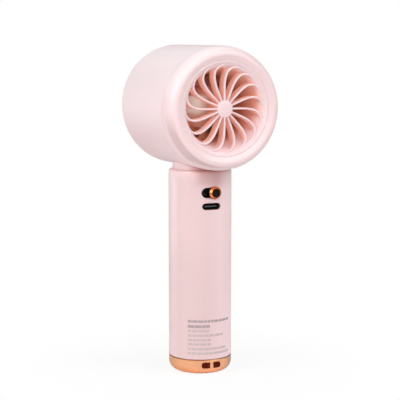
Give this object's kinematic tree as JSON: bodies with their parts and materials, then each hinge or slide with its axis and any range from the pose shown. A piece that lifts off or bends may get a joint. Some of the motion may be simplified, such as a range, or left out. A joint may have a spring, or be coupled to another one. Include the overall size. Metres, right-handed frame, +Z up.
{
  "type": "handheld electric fan",
  "caption": "Handheld electric turbo fan: round head with a curved-vane outlet on an upright cylindrical handle, with a slide switch, a charging socket and a plated base cap.",
  "frame": {"origin": "centre of the flat underside of the base cap, on the handle's axis", "axes": "+Z up along the handle, the air leaves the head along -Y, +X is to the right of someone who faces the outlet"},
  "size_m": [0.0614, 0.0635, 0.166],
  "materials": {
    "satin_pink": "satin moulded ABS",
    "rose_gold": "rose-gold plated",
    "black_plastic": "moulded",
    "black_wire": "soft sheath",
    "red_wire": "soft sheath",
    "dark_steel": "blackened",
    "milky_plastic": "translucent milky moulded",
    "white_plastic": "moulded",
    "green_board": "solder mask",
    "cell_wrap": "heat-shrink wrap",
    "foam": "closed-cell foam",
    "nickel_steel": "nickel plated",
    "aluminium_can": "drawn can",
    "magnet": "bonded ferrite",
    "bright_steel": "bright",
    "lamination_steel": "punched sheet",
    "copper_wire": "enamelled wire"
  },
  "bodies": {
    "housing": {"handle_tube": "satin_pink", "base_cap": "rose_gold", "inner_frame": "white_plastic", "main_board": "green_board", "driver_chip": "black_plastic", "filter_capacitor": "aluminium_can", "board_screw_1": "bright_steel", "board_screw_2": "bright_steel", "battery_cell": "cell_wrap", "battery_tab_top": "nickel_steel", "battery_tab_bottom": "nickel_steel", "battery_foam": "foam", "battery_wire_red": "red_wire", "battery_wire_black": "black_wire", "switch_guide": "black_plastic", "switch_body": "nickel_steel", "usb_shell": "dark_steel", "usb_tongue": "black_plastic", "neck_collar": "satin_pink", "neck_nut": "white_plastic", "neck_screw_1": "bright_steel", "neck_screw_2": "bright_steel", "head_casing": "satin_pink", "front_ring": "satin_pink", "outlet_grille": "satin_pink", "grille_screw_1": "bright_steel", "grille_screw_2": "bright_steel", "grille_screw_3": "bright_steel", "rear_grille": "satin_pink", "air_duct": "satin_pink", "duct_screw_1": "bright_steel", "duct_screw_2": "bright_steel", "duct_screw_3": "bright_steel", "motor_bracket": "white_plastic", "motor_screw_1": "bright_steel", "motor_screw_2": "bright_steel", "motor_base": "dark_steel", "bearing_rear": "bright_steel", "bearing_front": "bright_steel", "stator_core": "lamination_steel", "stator_winding": "copper_wire", "motor_cable": "black_wire"},
    "rotor": {"impeller": "milky_plastic", "rotor_can": "dark_steel", "rotor_magnet": "magnet", "motor_shaft": "bright_steel", "shaft_clip": "bright_steel"},
    "switch": {"knob_cap": "rose_gold", "knob_inlay": "black_plastic", "knob_stem": "black_plastic", "switch_lever": "black_plastic"}
  },
  "joints": [
    {"name": "rotor_spin", "type": "hinge", "parent": "housing", "child": "rotor", "pos_m": [0, 0, 0.1353], "axis": [0, -1, 0], "continuous": true},
    {"name": "switch_slide", "type": "slide", "parent": "housing", "child": "switch", "axis": [-1, 0, 0], "range_m": [0, 0.003]}
  ]
}
